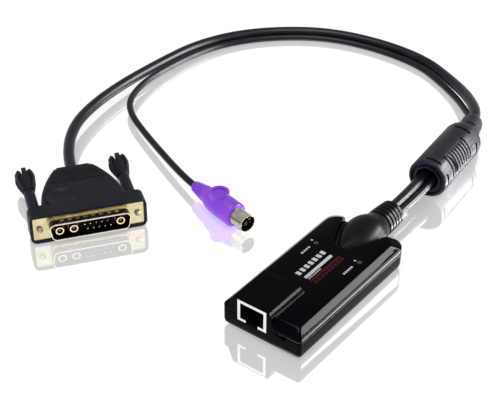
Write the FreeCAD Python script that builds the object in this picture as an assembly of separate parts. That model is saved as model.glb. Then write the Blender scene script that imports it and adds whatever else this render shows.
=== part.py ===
"""KVM dongle: a network-socket housing on a two-cord lead with a ferrite, a 13W3 video plug
and a mini-DIN keyboard plug.

Millimetres, +Z up.  The housing lies along Y with its network socket facing -Y and its cord
leaving at +Y.  The origin is on the resting plane, under the middle of the housing and its boot.
"""
import FreeCAD
import Part
import math
import os

V = FreeCAD.Vector
UP = V(0, 0, 1)

# --- dongle housing ---------------------------------------------------------------------
FRONT_Y = -52.0            # face with the network socket
REAR_Y = 32.4              # rear of the two shoulders
HALF_WIDTH = 20.6
SEAM_Z = 10.0              # underside of the upper shell
SEAM_GAP = 0.6             # shadow groove between the two shells
SEAM_DEPTH = 0.6
LID_Z = 15.1               # flat top of the lid
BASE_ROUND = 3.4
BASE_STEPS = 4             # facets of the rounded bottom edge
WALL = 1.8
FRONT_CORNER_R = 1.6
REAR_CORNER_R = 6.7
# the upper shell's outline by height: z, then how far it stands in at the side, front and rear
SHELL_STEPS = ((SEAM_Z, 0.0, 0.0, 0.0), (11.5, 0.0, 0.0, 0.0), (12.0, 0.25, 0.25, 0.3),
               (14.75, 3.0, 3.3, 4.0), (LID_Z, 3.6, 3.95, 4.6))
NOTCH_TIP_Y = 0.1          # where the sides of the V notch would meet
NOTCH_KNEE = (8.4, 17.6)   # half-width and y where its sides turn a little steeper
NOTCH_LATE_SLOPE = 0.335
NOTCH_R = 6.0
TIP_R = 2.4                # rounding where the notch meets the rear of a shoulder

# raised roof over the network socket
ROOF_Z = 18.5
ROOF_X = (-15.0, 4.2)      # edges of its flat top
ROOF_FLARE = 0.42          # outward slope of its side walls
ROOF_CREASE_Y = -29.4
ROOF_END_Y = -27.6

# --- network socket ---------------------------------------------------------------------
JACK_X = -4.8
JACK_SIZE = (15.4, 16.0, 11.15)
JACK_Z = 6.9
JACK_RIM = 1.3             # height of the bright rim below the opening
JACK_HOLE = (12.5, 8.4)    # clear width and height inside the rim
JACK_DEPTH = 12.5
LATCH_WIDTH = 6.4
SHEET = 0.3

# --- circuit board and what stands on it -------------------------------------------------
BOARD_THICK = 1.4
BOARD_TOP = JACK_Z
BOARD_X = 17.2
BOARD_Y = (-49.8, 7.0)
SCREW_POSTS = ((-16.0, -41.5), (16.0, -41.5), (-16.0, 18.0), (16.0, 18.0))
POST_R = 2.5
LED_AT = {"green": (-10.7, 4.0), "amber": (13.0, 4.0)}
LED_R = 1.15
SWITCH_X = 10.8
SWITCH_Z = 9.1
SWITCH_SLOT = (5.6, 1.9)
SWITCH_TRAVEL = 2.0

# --- boot and cords ----------------------------------------------------------------------
BOOT_END_Y = 52.0
BOOT_AXIS_Z = 9.2
RING_RADII = (7.05, 7.0, 6.85, 6.65, 6.4)
RING_CORE_R = 5.5
RING_PITCH = 2.5
RING_GROOVE = 1.0
BELL_END_Y = 39.4
BELL_END_R = 6.9
SKIRT_Z = (10.2, 13.4)     # web that closes the notch under the bell
SKIRT_REAR_Y = 26.5
VIDEO_R = 2.9              # thick cord
PS2_R = 1.75               # thin cord

# --- ferrite -----------------------------------------------------------------------------
FERRITE_AT = (-0.7, 84.7)
FERRITE_YAW = 5.5
FERRITE_R = 10.15
FERRITE_LEN = 46.0
FERRITE_BORE = 5.4         # room for the two cords side by side
BORE_END = 43.0
FACE_RING = (8.6, 7.0, 1.4)    # outer and inner radius and depth of the groove in its near face
PANEL_ANGLES = (24.0, 88.0)    # the ribbed panel, from the top; a second one is opposite
PANEL_START = 9.3
PANEL_PITCH = 2.5
PANEL_GROOVES = 9
RIB_DEPTH = 0.6
DOT_R = 0.8
SLOT_SPAN = 52.0
SLOT_ANGLES = (6.0, 90.0, 180.0, 270.0)
SLOT_PLACES = (3.3, 37.0)
NECK_AT = (-4.9, 128.5)
NECK_YAW = 14.6
NECK_PROFILE = ((-3.0, 6.2), (5.0, 6.2), (15.0, 5.5), (16.4, 5.1), (17.2, 4.3))
NECK_SLOTS = ((6.0, 12.0), (10.5, 95.0), (10.5, 265.0))   # along the neck, angle from the top
CORE_R = (5.9, 8.7)
CORE_START = 7.0
CORE_LEN = 30.0

# --- 13W3 video plug, in its own frame: X across, Y into the hood, from the flange face ----
PLUG_AT = (-110.9, -39.75)
PLUG_YAW = 54.1
PLUG_MID_Z = 7.9
BLOCK = (56.0, 8.6, 15.8)  # frame of the hood round the flange
BLOCK_FRONT = -0.6
BLOCK_R = 3.4
FLANGE = (53.04, 12.55)
FLANGE_THICK = 1.0
REAR_FLANGE_THICK = 0.8
SCREW_SPACING = 47.04
D_SIZE = (39.5, 9.1)       # outside of the shell
D_SLANT = 10.0
D_R = 2.6
D_REACH = 5.2
DIMPLE_PITCH = 3.75
D_WALL = 0.4
COAX_X = (-14.6, -7.9, 14.5)
PIN_MID_X = 3.35
PIN_PITCH = 2.77
PIN_ROWS = 2.84
HOOD_Z = (1.0, 14.8)
HOOD_BACK = 41.5
HOOD_ROUND = 2.2
HOOD_TAPER = ((0.0, 0.0), (33.5, 0.0), (36.5, 0.5), (39.5, 1.6), (HOOD_BACK + 0.5, 3.4))   # y, drop
RIDGES = 7
RIDGE_START = 26.2
RIDGE_PITCH = 2.1
RIDGE_WIDTH = 1.05
MEDAL_AT = (-10.6, 14.4)
MEDAL_R = (8.0, 6.9, 4.0)      # rim outside, rim inside, floor of the dish
MEDAL_RISE = 0.6
KNOB_GROOVE = 31.0
SLEEVE_R = 2.75
SLEEVE_START = 5.2
SCREW_R = 1.42

# --- mini-DIN plug, in its own frame: X from the cord end to the barrel's mouth -------------
DIN_AT = (-91.3, 15.2)
DIN_YAW = -12.95
DIN_Z = 6.2
DIN_R = 6.2
DIN_BODY_LEN = 32.6
DIN_LEN = 41.0
BARREL_R = 4.5
BOSS_X = 19.6
BOSS_R = (4.9, 3.4)          # outside and dish
BOSS_RISE = 1.0
MARK_DEPTH = 0.35          # arrow on either side of the grip


# --- shape helpers -------------------------------------------------------------------------
def box(x, y, z):
    """Box from three (low, high) pairs."""
    return Part.makeBox(x[1] - x[0], y[1] - y[0], z[1] - z[0], V(x[0], y[0], z[0]))


def rod(radius, start, end):
    """Cylinder of a radius between two points."""
    start, end = V(*start), V(*end)
    return Part.makeCylinder(radius, (end - start).Length, start, end - start)


def rounded_wire(corners):
    """Closed wire through (point, radius) corners, each corner rounded by an arc."""
    stops = []
    count = len(corners)
    for i, (point, radius) in enumerate(corners):
        before = (corners[i - 1][0] - point).normalize()
        after = (corners[(i + 1) % count][0] - point).normalize()
        if radius <= 0:
            stops.append((point, point, point))
            continue
        half = before.getAngle(after) / 2
        reach = radius / math.tan(half)
        middle = (before + after).normalize()
        top = point + middle * (radius / math.sin(half) - radius)
        stops.append((point + before * reach, top, point + after * reach))
    edges = []
    for i, (first, top, last) in enumerate(stops):
        if (last - first).Length > 1e-6:
            edges.append(Part.Arc(first, top, last).toShape())
        following = stops[(i + 1) % count][0]
        if (following - last).Length > 1e-6:
            edges.append(Part.LineSegment(last, following).toShape())
    return Part.Wire(edges)


def prism(wire, direction):
    return Part.Face(wire).extrude(direction)


def rounded_box(x, y, z, radius, along="y"):
    """Box whose four edges along one axis are rounded."""
    if along == "y":
        points = [V(x[0], y[0], z[0]), V(x[1], y[0], z[0]), V(x[1], y[0], z[1]), V(x[0], y[0], z[1])]
        reach = V(0, y[1] - y[0], 0)
    else:
        points = [V(x[0], y[0], z[0]), V(x[1], y[0], z[0]), V(x[1], y[1], z[0]), V(x[0], y[1], z[0])]
        reach = V(0, 0, z[1] - z[0])
    return prism(rounded_wire([(p, radius) for p in points]), reach)


def turned(profile, yaw=0.0, at=(0, 0, 0)):
    """Solid of revolution about local X from (x, radius) points, turned by yaw and moved."""
    points = [V(profile[0][0], 0, 0)]
    points += [V(x, radius, 0) for x, radius in profile]
    points += [V(profile[-1][0], 0, 0)]
    kept = [points[0]]
    for point in points[1:]:
        if (point - kept[-1]).Length > 1e-6:
            kept.append(point)
    face = Part.Face(Part.makePolygon(kept + [kept[0]]))
    return placed(face.revolve(V(0, 0, 0), V(1, 0, 0), 360), at, yaw)


def placed(shape, at, yaw):
    """Copy of a shape turned about Z by yaw degrees and moved."""
    result = shape.copy()
    result.Placement = FreeCAD.Placement(V(*at), FreeCAD.Rotation(UP, yaw)).multiply(shape.Placement)
    return result


def joined(shapes):
    result = shapes[0].multiFuse(shapes[1:]) if len(shapes) > 1 else shapes[0]
    return result.removeSplitter()


def cut(shape, *tools):
    return shape.cut(list(tools)).removeSplitter()


def group(shapes):
    return Part.makeCompound(shapes)


# --- housing -------------------------------------------------------------------------------
def notch_half(y):
    """Half-width of the V notch at a distance y along the housing."""
    knee_half, knee_y = NOTCH_KNEE
    if y < knee_y:
        return knee_half * (y - NOTCH_TIP_Y) / (knee_y - NOTCH_TIP_Y)
    return knee_half + NOTCH_LATE_SLOPE * (y - knee_y)


def shell_outline(z, side, front, rear, wall=0.0):
    """Plan of the upper shell at one height, standing in by the given amounts and a wall."""
    half = HALF_WIDTH - side - wall
    near, far = FRONT_Y + front + wall, REAR_Y - rear - wall
    rear_r = REAR_CORNER_R - wall
    return rounded_wire([(V(-half, near, z), FRONT_CORNER_R), (V(half, near, z), FRONT_CORNER_R),
                         (V(half, far, z), rear_r), (V(-half, far, z), rear_r)])


def notch_outline(z, rear, gap=0.0):
    """Plan of the V notch at one height, widened by a gap; its tips are rounded and open outwards."""
    knee_half, knee_y = NOTCH_KNEE
    tip = notch_half(rear) + gap
    valley = NOTCH_TIP_Y - gap * (knee_y - NOTCH_TIP_Y) / knee_half
    flare = (tip + 7.0, rear + 1.6)
    return rounded_wire([
        (V(0, valley, z), NOTCH_R + gap),
        (V(knee_half + gap, knee_y, z), 12.0),
        (V(tip, rear, z), TIP_R),
        (V(flare[0], flare[1], z), 0), (V(flare[0], REAR_Y + 6, z), 0),
        (V(-flare[0], REAR_Y + 6, z), 0), (V(-flare[0], flare[1], z), 0),
        (V(-tip, rear, z), TIP_R),
        (V(-knee_half - gap, knee_y, z), 12.0),
    ])


def notch_tool(gap=0.0):
    """V notch through the upper shell; its open end follows the slope of the rear bevel."""
    low_rear, high_rear = REAR_Y, REAR_Y - SHELL_STEPS[-1][3]
    turn_z, top_z = SHELL_STEPS[1][0], LID_Z
    over = 1.0
    rise = (high_rear - low_rear) / (top_z - turn_z)
    straight = prism(notch_outline(SEAM_Z - 4, low_rear, gap), V(0, 0, turn_z - SEAM_Z + 4))
    leaning = Part.makeLoft([notch_outline(turn_z, low_rear, gap),
                             notch_outline(top_z + over, high_rear + rise * over, gap)], True, True)
    return [straight, leaning]


def roof(low_z, top_z, x_pair, front, crease, end, end_z):
    """Raised roof over the socket: flat, then a ramp down to the lid, with flared sides."""
    side = Part.makePolygon([V(0, front, low_z), V(0, front, top_z), V(0, crease, top_z),
                             V(0, end, end_z), V(0, end, low_z), V(0, front, low_z)])
    drop = ROOF_FLARE * (top_z - low_z)
    left, right = x_pair
    ends = Part.makePolygon([V(left - drop, front, low_z), V(left, front, top_z), V(right, front, top_z),
                             V(right + drop, front, low_z), V(left - drop, front, low_z)])
    ramp = prism(side, V(60, 0, 0))
    ramp.translate(V(-40, 0, 0))
    return ramp.common(prism(ends, V(0, end - front, 0)))


def jack_space(gap):
    """Room that the network socket fills, with a gap all round and open at the front."""
    half = JACK_SIZE[0] / 2 + gap
    return box((JACK_X - half, JACK_X + half), (FRONT_Y - 1, FRONT_Y + JACK_SIZE[1] + gap),
               (JACK_Z - gap, JACK_Z + JACK_SIZE[2] + gap))


def upper_shell():
    wires = [shell_outline(z, *inset) for z, *inset in SHELL_STEPS]
    layers = [Part.makeLoft([below, above], True, True) for below, above in zip(wires, wires[1:])]
    hump = roof(SHELL_STEPS[1][0], ROOF_Z, ROOF_X, FRONT_Y, ROOF_CREASE_Y, ROOF_END_Y, LID_Z)
    shell = cut(joined(layers + [hump]), *notch_tool())

    room = prism(shell_outline(SEAM_Z - 1, 0, 0, 0, WALL), V(0, 0, 3.2))
    upper_room = prism(shell_outline(SEAM_Z - 1, *SHELL_STEPS[-1][1:], WALL - 1.0),
                       V(0, 0, LID_Z - WALL - SEAM_Z + 1))
    room, upper_room = (cut(space, *notch_tool(WALL)) for space in (room, upper_room))
    shell = cut(shell, room, upper_room, jack_space(0.1))
    posts = [rod(POST_R, (x, y, SEAM_Z - 3.0), (x, y, LID_Z - WALL + 0.4)) for x, y in SCREW_POSTS]
    shell = joined([shell] + posts)
    holes = [rod(0.8, (x, y, SEAM_Z - 4.0), (x, y, SEAM_Z + 1.6)) for x, y in SCREW_POSTS]
    holes += [rod(LED_R + 0.05, (x, y, SEAM_Z), (x, y, LID_Z + 1)) for x, y in LED_AT.values()]
    return cut(shell, *holes)


def lower_shell():
    wires = []
    for k in range(BASE_STEPS + 1):
        turn = math.radians(90 * k / BASE_STEPS)
        inset = BASE_ROUND * (1 - math.sin(turn))
        wires.append(shell_outline(BASE_ROUND * (1 - math.cos(turn)), inset, inset, inset))
    wires.append(shell_outline(SEAM_Z - SEAM_GAP, 0, 0, 0))
    layers = [Part.makeLoft([below, above], True, True) for below, above in zip(wires, wires[1:])]
    lip_half = HALF_WIDTH - SEAM_DEPTH
    lip_ends = (FRONT_Y + SEAM_DEPTH, REAR_Y - SEAM_DEPTH)
    lip = prism(rounded_wire([(V(-lip_half, lip_ends[0], 5), FRONT_CORNER_R), (V(lip_half, lip_ends[0], 5), FRONT_CORNER_R),
                              (V(lip_half, lip_ends[1], 5), REAR_CORNER_R - SEAM_DEPTH), (V(-lip_half, lip_ends[1], 5), REAR_CORNER_R - SEAM_DEPTH)]),
                V(0, 0, SEAM_Z - 5))
    body = joined(layers + [lip])
    inner = HALF_WIDTH - WALL
    room = rounded_box((-inner, inner), (FRONT_Y + WALL, REAR_Y - WALL - 0.4), (WALL, SEAM_Z + 1), 3.0, "z")
    body = cut(body, room, jack_space(0.1), boot_solid(0.12))
    posts = [rod(POST_R, (x, y, WALL - 0.5), (x, y, BOARD_TOP - BOARD_THICK)) for x, y in SCREW_POSTS]
    body = joined([body] + posts)
    tools = []
    for x, y in SCREW_POSTS:
        tools += [rod(2.3, (x, y, -1), (x, y, 2.0)), rod(1.25, (x, y, 1), (x, y, SEAM_Z))]
    slot_half = SWITCH_SLOT[0] / 2
    tools.append(box((SWITCH_X - slot_half, SWITCH_X + slot_half), (FRONT_Y - 1, FRONT_Y + WALL + 1),
                     (SWITCH_Z - SWITCH_SLOT[1] / 2, SEAM_Z + 1)))
    return cut(body, *tools)


def boot_solid(gap=0.0):
    """Flared strain relief: a cone in the notch, a rounded bell, then a ringed neck."""
    stations = [  # y, half-width, lowest z, highest z
        (9.0, 2.8, 7.0, 14.8),
        (16.0, 7.0, 3.6, 16.8),
        (24.0, 9.9, 2.2, 18.2),
        (29.0, 10.2, 2.0, 18.4),
        (33.5, 9.3, 2.3, 17.8),
        (37.0, 7.7, 2.7, 16.6),
        (BELL_END_Y, BELL_END_R, BOOT_AXIS_Z - BELL_END_R, BOOT_AXIS_Z + BELL_END_R),
    ]
    rings = []
    for y, half, low, high in stations:
        stretch = FreeCAD.Matrix()
        stretch.scale(V(half + gap, 1, (high - low) / 2 + gap))
        ring = Part.makeCircle(1, V(0, 0, 0), V(0, 1, 0)).transformGeometry(stretch)
        ring.translate(V(0, y, (low + high) / 2))
        rings.append(Part.Wire([ring]))
    return Part.makeLoft(rings, True, False)


def skirt_plan(gap):
    """Plan of the skirt that fills the V notch under the bell."""
    knee_half, knee_y = NOTCH_KNEE
    half = notch_half(SKIRT_REAR_Y) - gap
    tip = NOTCH_TIP_Y + gap * (knee_y - NOTCH_TIP_Y) / knee_half
    return rounded_wire([(V(0, tip, SKIRT_Z[0]), NOTCH_R - gap), (V(knee_half - gap, knee_y, SKIRT_Z[0]), 12.0),
                         (V(half, SKIRT_REAR_Y, SKIRT_Z[0]), 1.0), (V(-half, SKIRT_REAR_Y, SKIRT_Z[0]), 1.0),
                         (V(gap - knee_half, knee_y, SKIRT_Z[0]), 12.0)])


def cable_boot():
    bell = boot_solid()
    skirt = prism(skirt_plan(0.25), V(0, 0, SKIRT_Z[1] - SKIRT_Z[0]))
    profile = [(BELL_END_Y - 1.0, RING_CORE_R)]
    for k, radius in enumerate(RING_RADII):
        start = BELL_END_Y + k * RING_PITCH
        end = start + RING_PITCH if k < len(RING_RADII) - 1 else BOOT_END_Y
        profile += [(start + RING_GROOVE, RING_CORE_R), (start + RING_GROOVE, radius), (end, radius), (end, RING_CORE_R)]
    neck = turned(profile[:-1], 90, (0, 0, BOOT_AXIS_Z))
    return joined([bell, neck, skirt])


def circuit_board():
    board = box((-BOARD_X, BOARD_X), BOARD_Y, (BOARD_TOP - BOARD_THICK, BOARD_TOP))
    holes = [rod(POST_R + 0.3, (x, y, 0), (x, y, SEAM_Z)) for x, y in SCREW_POSTS]
    return cut(board, *holes)


def board_components():
    """Processor, memory, video chip, network transformer and two indicator bodies."""
    chips = [((-5.0, 9.0), (-28.0, -14.0), 1.4), ((-15.0, -8.0), (-30.0, -18.0), 1.2),
             ((10.5, 16.5), (-30.0, -20.0), 1.2), ((-14.0, -2.0), (-11.0, -3.0), 2.2),
             ((5.5, 12.0), (-9.0, -2.5), 1.0)]
    solids = [box(x, y, (BOARD_TOP, BOARD_TOP + tall)) for x, y, tall in chips]
    for x, y in LED_AT.values():
        solids.append(box((x - 1.0, x + 1.0), (y - 1.0, y + 1.0), (BOARD_TOP, BOARD_TOP + 0.8)))
    return group(solids)


def led_lens(name):
    x, y = LED_AT[name]
    return rod(LED_R, (x, y, BOARD_TOP + 1.0), (x, y, LID_Z + 0.1))


def case_screws():
    solids = []
    for x, y in SCREW_POSTS:
        head = rod(2.1, (x, y, 0.5), (x, y, 2.0))
        shank = rod(0.8, (x, y, 2.0), (x, y, SEAM_Z + 1.4))
        cross = [box((x - 1.2, x + 1.2), (y - 0.25, y + 0.25), (0, 1.1)), box((x - 0.25, x + 0.25), (y - 1.2, y + 1.2), (0, 1.1))]
        solids.append(cut(joined([head, shank]), *cross))
    return group(solids)


# --- network socket ------------------------------------------------------------------------
def jack_box(inset=0.0):
    half = JACK_SIZE[0] / 2 - inset
    return box((JACK_X - half, JACK_X + half), (FRONT_Y, FRONT_Y + JACK_SIZE[1] - inset),
               (JACK_Z + inset, JACK_Z + JACK_SIZE[2] - inset))


def jack_mouth(front, depth):
    """Plug opening with its latch channel below."""
    half = JACK_HOLE[0] / 2
    low = JACK_Z + JACK_RIM
    mouth = box((JACK_X - half, JACK_X + half), (front, front + depth), (low, low + JACK_HOLE[1]))
    latch = box((JACK_X - LATCH_WIDTH / 2, JACK_X + LATCH_WIDTH / 2), (front, front + depth), (JACK_Z + SHEET, low + 1))
    return joined([mouth, latch])


def rj45_shield():
    can = jack_box()
    inner = box((JACK_X - JACK_SIZE[0] / 2 + SHEET, JACK_X + JACK_SIZE[0] / 2 - SHEET),
                (FRONT_Y + SHEET, FRONT_Y + JACK_SIZE[1] - SHEET),
                (JACK_Z - 1, JACK_Z + JACK_SIZE[2] - SHEET))
    gate = box((JACK_X - LATCH_WIDTH / 2, JACK_X + LATCH_WIDTH / 2), (FRONT_Y - 1, FRONT_Y + 1), (JACK_Z - 1, JACK_Z + 2))
    return cut(can, inner, jack_mouth(FRONT_Y - 1, 3), gate)


def rj45_insulator():
    half = JACK_SIZE[0] / 2 - SHEET
    block = box((JACK_X - half, JACK_X + half), (FRONT_Y + SHEET, FRONT_Y + JACK_SIZE[1] - SHEET),
                (JACK_Z, JACK_Z + JACK_SIZE[2] - SHEET))
    return cut(block, jack_mouth(FRONT_Y - 1, JACK_DEPTH + 1), *contact_wires())


def contact_wires():
    """Eight spring wires: along the roof of the opening, then bent back towards its rear."""
    top = JACK_Z + JACK_RIM + JACK_HOLE[1]
    solids = []
    for k in range(8):
        x = JACK_X + (k - 3.5) * 1.02
        rise = box((x - 0.2, x + 0.2), (FRONT_Y + 3.0, FRONT_Y + JACK_DEPTH), (top, top + 0.5))
        leg = Part.makePolygon([V(x - 0.2, FRONT_Y + 3.0, top), V(x - 0.2, FRONT_Y + 3.6, top),
                                V(x - 0.2, FRONT_Y + 9.8, top - 2.4), V(x - 0.2, FRONT_Y + 9.4, top - 2.6),
                                V(x - 0.2, FRONT_Y + 3.0, top)])
        solids.append(joined([rise, prism(leg, V(0.4, 0, 0))]))
    return solids


def rj45_contacts():
    return group(contact_wires())


# --- recovery switch -----------------------------------------------------------------------
def switch_body():
    frame = box((SWITCH_X - 4.2, SWITCH_X + 4.2), (FRONT_Y + 2.4, FRONT_Y + 6.0), (BOARD_TOP, BOARD_TOP + 4.6))
    knob_path = box((SWITCH_X - 2.4, SWITCH_X + 2.4), (FRONT_Y + 2.0, FRONT_Y + 4.2), (SWITCH_Z - 0.9, SWITCH_Z + 0.9))
    return cut(frame, knob_path)


def switch_slider():
    start = SWITCH_X - SWITCH_TRAVEL / 2
    knob = box((start - 0.9, start + 0.9), (FRONT_Y + 0.5, FRONT_Y + 2.6), (SWITCH_Z - 0.7, SWITCH_Z + 0.7))
    foot = box((start - 1.3, start + 1.3), (FRONT_Y + 2.6, FRONT_Y + 3.9), (SWITCH_Z - 0.8, SWITCH_Z + 0.8))
    return joined([knob, foot])


# --- cords -----------------------------------------------------------------------------------
def tube(name, points, radius):
    """Tube of straight runs joined by tangent arcs, each as large as its two runs allow."""
    points = [V(*p) for p in points]
    edges = []
    last = points[0]
    radii = []
    for before, here, after in zip(points, points[1:], points[2:]):
        way_in, way_out = here - before, after - here
        turn = way_in.getAngle(way_out)
        reach = 0.45 * min(way_in.Length, way_out.Length)
        radius_here = reach / math.tan(turn / 2)
        radii.append(round(radius_here, 1))
        back, onward = V(way_in).normalize(), V(way_out).normalize()
        first, end = here - back * reach, here + onward * reach
        to_centre = (onward - back).normalize()
        bulge = radius_here * (1 / math.cos(turn / 2) - 1)
        edges.append(Part.LineSegment(last, first).toShape())
        edges.append(Part.Arc(first, here + to_centre * bulge, end).toShape())
        last = end
    edges.append(Part.LineSegment(last, points[-1]).toShape())
    path = Part.Wire(edges)
    start = (points[1] - points[0]).normalize()
    ring = Part.Wire([Part.makeCircle(radius, points[0], start)])
    solid = path.makePipeShell([ring], True, False)
    section = math.pi * radius ** 2
    print(name, "length", round(path.Length, 1), "smallest radius", min(radii), "radii", radii,
          "volume over section times length", round(solid.Volume / (section * path.Length), 4))
    return solid


# both cords run from the boot through the ferrite, where the thin one goes under the thick one;
# after it they sink to the ground side by side, and each rises again to its plug
VIDEO_ROUTE = [
    (-1.7, 51.0, 9.2), (-1.9, 69.0, 9.1), (-3.2, 86.0, 10.2), (-4.3, 104.5, 11.9), (-4.9, 128.3, 12.0),
    (-9.5, 148.3, 11.8), (-16.4, 158.5, 10.5), (-29.9, 173.0, 6.6), (-47.9, 186.2, 3.3), (-68.3, 195.8, 2.9),
    (-97.1, 197.4, 2.9), (-127.6, 191.2, 2.9), (-150.8, 177.3, 2.9), (-171.1, 156.0, 3.1), (-183.0, 129.1, 3.6),
    (-185.0, 97.0, 4.8), (-184.6, 60.3, 6.2), (-179.7, 30.7, 7.2), (-171.2, 11.2, 7.7), (-155.9, -7.1, 7.9),
    (-143.7, -16.0, 7.9),
]
PS2_ROUTE = [
    (3.0, 51.0, 9.2), (2.9, 70.0, 9.0), (1.7, 87.0, 9.8), (-0.9, 105.2, 7.4), (-4.6, 127.5, 7.2),
    (-10.2, 148.6, 6.9), (-22.2, 160.8, 4.4), (-34.2, 172.0, 2.3), (-50.3, 181.9, 1.75), (-69.3, 190.6, 1.75),
    (-97.3, 192.2, 1.75), (-125.8, 186.4, 1.75), (-147.5, 173.2, 1.75), (-166.7, 153.1, 1.8), (-177.9, 127.9, 2.4),
    (-179.9, 84.8, 4.4), (-174.3, 61.7, 4.7), (-165.1, 49.7, 4.5), (-146.0, 39.1, 4.2), (-99.0, 17.4, 5.4),
    (-90.3, 15.0, 6.2),
]


# --- ferrite -----------------------------------------------------------------------------------
def along_ferrite(profile):
    """Solid of revolution on the ferrite's axis."""
    return turned(profile, FERRITE_YAW + 90, (FERRITE_AT[0], FERRITE_AT[1], FERRITE_R))


def along_neck(profile):
    """Solid of revolution on the axis of the neck, which leans to one side."""
    return turned(profile, NECK_YAW + 90, (NECK_AT[0], NECK_AT[1], FERRITE_R))


def sector(profile, first, span):
    """Part of a ring about local X: a profile of (x, radius) points swept from an angle, measured
    from the top towards the right, over a span."""
    points = [V(x, 0, radius) for x, radius in profile]
    face = Part.Face(Part.makePolygon(points + [points[0]]))
    face.rotate(V(0, 0, 0), V(1, 0, 0), first)
    return face.revolve(V(0, 0, 0), V(1, 0, 0), span)


def on_ferrite(shape):
    return placed(shape, (FERRITE_AT[0], FERRITE_AT[1], FERRITE_R), FERRITE_YAW + 90)


def rib_grooves():
    """Grooves of the two ribbed panels, with a dot in each panel corner."""
    low, high = PANEL_ANGLES
    tools = []
    for side_start, dots in ((low, (low, high)), (low + 180, (low + 180, high + 180))):
        for k in range(PANEL_GROOVES):
            x = PANEL_START + k * PANEL_PITCH
            groove = [(x - 0.75, FERRITE_R + 0.3), (x - 0.3, FERRITE_R - RIB_DEPTH),
                      (x + 0.3, FERRITE_R - RIB_DEPTH), (x + 0.75, FERRITE_R + 0.3)]
            tools.append(sector(groove, side_start, high - low))
        for angle in dots:
            for k in (0, PANEL_GROOVES - 1):
                x = PANEL_START + k * PANEL_PITCH
                dot = rod(DOT_R, (x, 0, FERRITE_R - 1.2), (x, 0, FERRITE_R + 1))
                dot.rotate(V(0, 0, 0), V(1, 0, 0), angle)
                tools.append(dot)
    return [on_ferrite(tool) for tool in tools]


def ferrite_slots():
    tools = []
    for x in SLOT_PLACES:
        ring = [(x - 0.75, FERRITE_R - 1.3), (x + 0.75, FERRITE_R - 1.3), (x + 0.75, FERRITE_R + 1), (x - 0.75, FERRITE_R + 1)]
        tools += [on_ferrite(sector(ring, angle - SLOT_SPAN / 2, SLOT_SPAN)) for angle in SLOT_ANGLES]
    for x, angle in NECK_SLOTS:
        ring = [(x - 0.55, 5.3), (x + 0.55, 5.3), (x + 0.55, 8), (x - 0.55, 8)]
        slot = sector(ring, angle - SLOT_SPAN / 2, SLOT_SPAN)
        tools.append(placed(slot, (NECK_AT[0], NECK_AT[1], FERRITE_R), NECK_YAW + 90))
    return tools


def ferrite_core():
    outer = along_ferrite([(CORE_START, CORE_R[1]), (CORE_START + CORE_LEN, CORE_R[1])])
    return outer.cut(along_ferrite([(CORE_START - 1, CORE_R[0]), (CORE_START + CORE_LEN + 1, CORE_R[0])]))


def ferrite_jacket():
    radius, end = FERRITE_R, FERRITE_LEN
    body = along_ferrite([(0, radius - 1.0), (0.3, radius - 0.35), (1.0, radius), (end - 5.5, radius),
                          (end - 3.2, radius - 0.5), (end - 1.3, radius - 1.9), (end, radius - 4.2)])
    jacket = joined([body, along_neck(NECK_PROFILE)])
    outer_r, inner_r, deep = FACE_RING
    face_groove = along_ferrite([(-1, outer_r), (0.6, outer_r), (deep, outer_r - 0.6)]).cut(
        along_ferrite([(-2, inner_r), (0.6, inner_r), (deep + 1, inner_r + 0.4)]))
    mouth = along_ferrite([(-1, FERRITE_BORE + 1.2), (1.2, FERRITE_BORE), (BORE_END, FERRITE_BORE)])
    passages = [tube("passage", route[3:8], radius + 0.12) for route, radius in ((VIDEO_ROUTE, VIDEO_R), (PS2_ROUTE, PS2_R))]
    return cut(jacket, mouth, face_groove, ferrite_core(), *passages, *rib_grooves(), *ferrite_slots())


# --- 13W3 video plug -----------------------------------------------------------------------------
def on_plug(shape):
    return placed(shape, (PLUG_AT[0], PLUG_AT[1], 0), PLUG_YAW)


def d_prism(size, front, back, radius=D_R):
    """Prism of the plug's D outline, wide side up, centred on the plug's axis."""
    half, tall = size[0] / 2, size[1] / 2
    slant = tall * math.tan(math.radians(D_SLANT))
    corners = [V(-half + slant * 2, front, PLUG_MID_Z - tall), V(half - slant * 2, front, PLUG_MID_Z - tall),
               V(half, front, PLUG_MID_Z + tall), V(-half, front, PLUG_MID_Z + tall)]
    return prism(rounded_wire([(p, radius) for p in corners]), V(0, back - front, 0))


def screw_rod(side, radius, front, back):
    x = side * SCREW_SPACING / 2
    return rod(radius, (x, front, PLUG_MID_Z), (x, back, PLUG_MID_Z))


def plate(front, thick):
    half, tall = FLANGE[0] / 2, FLANGE[1] / 2
    return rounded_box((-half, half), (front, front + thick), (PLUG_MID_Z - tall, PLUG_MID_Z + tall), 1.2)


def plug_shell():
    body = joined([plate(0, FLANGE_THICK), d_prism(D_SIZE, -D_REACH, FLANGE_THICK)])
    inside = (D_SIZE[0] - 2 * D_WALL, D_SIZE[1] - 2 * D_WALL)
    tools = [d_prism(inside, -D_REACH - 1, FLANGE_THICK + 1, D_R - D_WALL)]
    tools += [screw_rod(side, SCREW_R + 0.08, -1, 3) for side in (-1, 1)]
    body = cut(body, *tools)
    bumps = []
    for k in range(8):
        x = (k - 3.5) * DIMPLE_PITCH
        for top in (-1, 1):
            z = PLUG_MID_Z + top * (D_SIZE[1] / 2 - 0.1)
            bump = box((x - 0.9, x + 0.9), (-3.0, -1.9), (z - 0.25, z + 0.35) if top > 0 else (z - 0.35, z + 0.25))
            bumps.append(bump)
    return joined([body] + bumps)


def rear_shell():
    size = (D_SIZE[0] + 1.4, D_SIZE[1] + 1.4)
    start = FLANGE_THICK
    body = joined([plate(start, REAR_FLANGE_THICK), d_prism(size, start, 9.0, D_R + 0.6)])
    inside = (D_SIZE[0] - 2 * D_WALL, D_SIZE[1] - 2 * D_WALL)
    tools = [d_prism(inside, start - 1, 10, D_R - D_WALL)]
    tools += [screw_rod(side, SCREW_R + 0.08, -1, 3) for side in (-1, 1)]
    return cut(body, *tools)


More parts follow.
